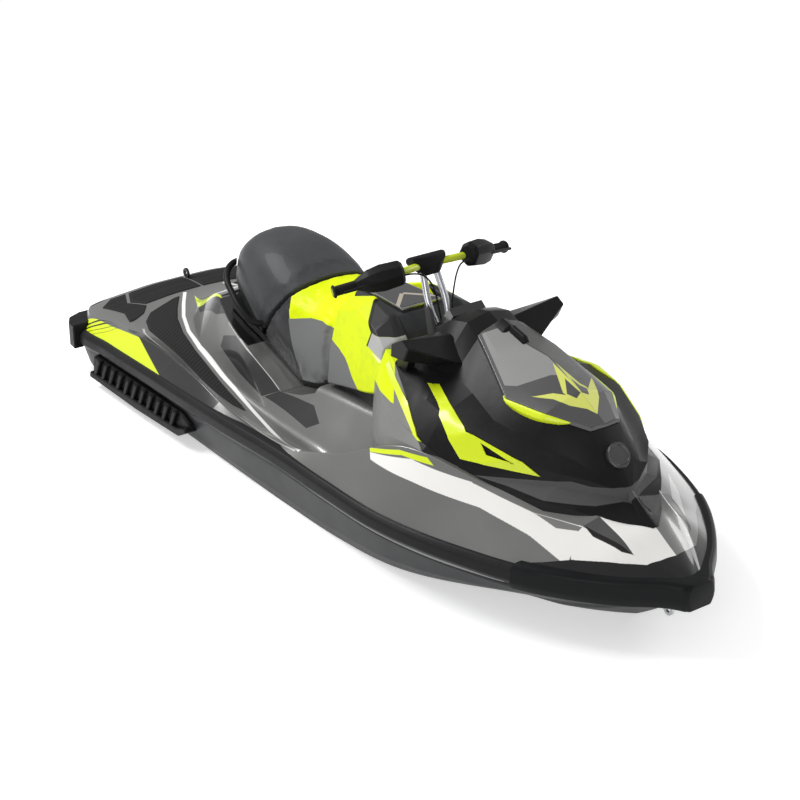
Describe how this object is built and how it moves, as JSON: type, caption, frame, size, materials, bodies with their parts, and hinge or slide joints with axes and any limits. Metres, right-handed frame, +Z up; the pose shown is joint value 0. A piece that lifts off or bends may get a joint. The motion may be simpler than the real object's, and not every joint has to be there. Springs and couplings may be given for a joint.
{
  "type": "personal watercraft",
  "caption": "Sport personal watercraft with a decked hull, straddle seat, handlebar steering, faceted front fairing and a jet pump with a steering nozzle.",
  "frame": {"origin": "on the centre line, midway between stern and bow, at the waterline of the empty craft", "axes": "+X to the bow, +Y to port, +Z up"},
  "size_m": [3.318, 1.2262, 1.1325],
  "materials": {
    "hull_gelcoat": "charcoal gelcoat, satin gloss",
    "deck_gelcoat": "silver-grey metallic gelcoat with a white band",
    "rail": "dark grey moulded rail",
    "bumper": "black moulded rubber",
    "sponson": "black moulded plastic",
    "mat": "charcoal ribbed foam mat",
    "fairing": "black grained plastic",
    "blade": "acid yellow gloss plastic",
    "lid": "grey fine-line panel",
    "seat_grey": "dark grey vinyl",
    "seat_yellow": "acid yellow vinyl with grey sides",
    "black_plastic": "black moulded plastic",
    "console": "charcoal moulded plastic",
    "glove_lid": "black gloss with a bright rim",
    "gauge": "black gauge with a dark window",
    "riser": "satin cast aluminium",
    "bar": "acid yellow paint",
    "grip": "black rubber",
    "pump_alloy": "bare cast aluminium",
    "steel": "stainless steel",
    "engine": "plain dark block"
  },
  "bodies": {
    "hull": {"lower_hull": "hull_gelcoat", "upper_deck": "deck_gelcoat", "engine_block": "engine", "rub_rails": "rail", "bow_bumper": "bumper", "stern_caps": "bumper", "sponsons": "sponson", "platform_mats": "mat", "footwell_mats": "mat", "front_fairing": "fairing", "storage_bin": "black_plastic", "console": "console", "knee_bolsters": "seat_yellow", "gauge_cluster": "gauge", "mirrors": "fairing", "fairing_blades": "blade", "pump_housing": "pump_alloy", "venturi": "pump_alloy", "ride_plate": "pump_alloy", "intake_grate": "pump_alloy", "tow_eye": "steel", "bow_eye": "steel", "drain_plugs": "black_plastic"},
    "steering": {"steering_riser": "riser", "handlebar": "bar", "bar_pad": "grip", "grips": "grip", "control_housings": "black_plastic", "levers": "black_plastic", "control_cables": "grip"},
    "seat": {"seat_pan": "black_plastic", "seat_rear": "seat_grey", "seat_front": "seat_yellow", "grab_handles": "black_plastic"},
    "front_lid": {"storage_lid": "lid", "lid_scoops": "blade", "lid_latch": "black_plastic"},
    "glove_lid": {"glove_box_lid": "glove_lid"},
    "impeller": {"impeller": "steel", "drive_shaft": "steel"},
    "nozzle": {"steering_nozzle": "pump_alloy"},
    "gate": {"reverse_gate": "pump_alloy"}
  },
  "joints": [
    {"name": "steering_turn", "type": "hinge", "parent": "hull", "child": "steering", "pos_m": [0.28103, 0, 0.66702], "axis": [-0.4163, 0, 0.9092], "range_deg": [-24, 24]},
    {"name": "nozzle_turn", "type": "hinge", "parent": "hull", "child": "nozzle", "pos_m": [-1.469, 0, -0.025], "axis": [0, 0, 1], "range_deg": [-22, 22]},
    {"name": "gate_drop", "type": "hinge", "parent": "hull", "child": "gate", "pos_m": [-1.397, 0, -0.025], "axis": [0, -1, 0], "range_deg": [0, 36]},
    {"name": "impeller_spin", "type": "hinge", "parent": "hull", "child": "impeller", "pos_m": [-1.254, 0, -0.025], "axis": [1, 0, 0], "continuous": true},
    {"name": "seat_tilt", "type": "hinge", "parent": "hull", "child": "seat", "pos_m": [-0.1535, 0, 0.717], "axis": [0, 1, 0], "range_deg": [0, 40]},
    {"name": "front_lid_lift", "type": "hinge", "parent": "hull", "child": "front_lid", "pos_m": [1.1628, 0, 0.62707], "axis": [0, 1, 0], "range_deg": [0, 55]},
    {"name": "glove_lid_lift", "type": "hinge", "parent": "hull", "child": "glove_lid", "pos_m": [0.12312, 0, 0.73055], "axis": [0, 1, 0], "range_deg": [0, 50]}
  ],
  "couplings": [
    {"joint": "nozzle_turn", "follows": "steering_turn", "ratio": -0.9}
  ]
}
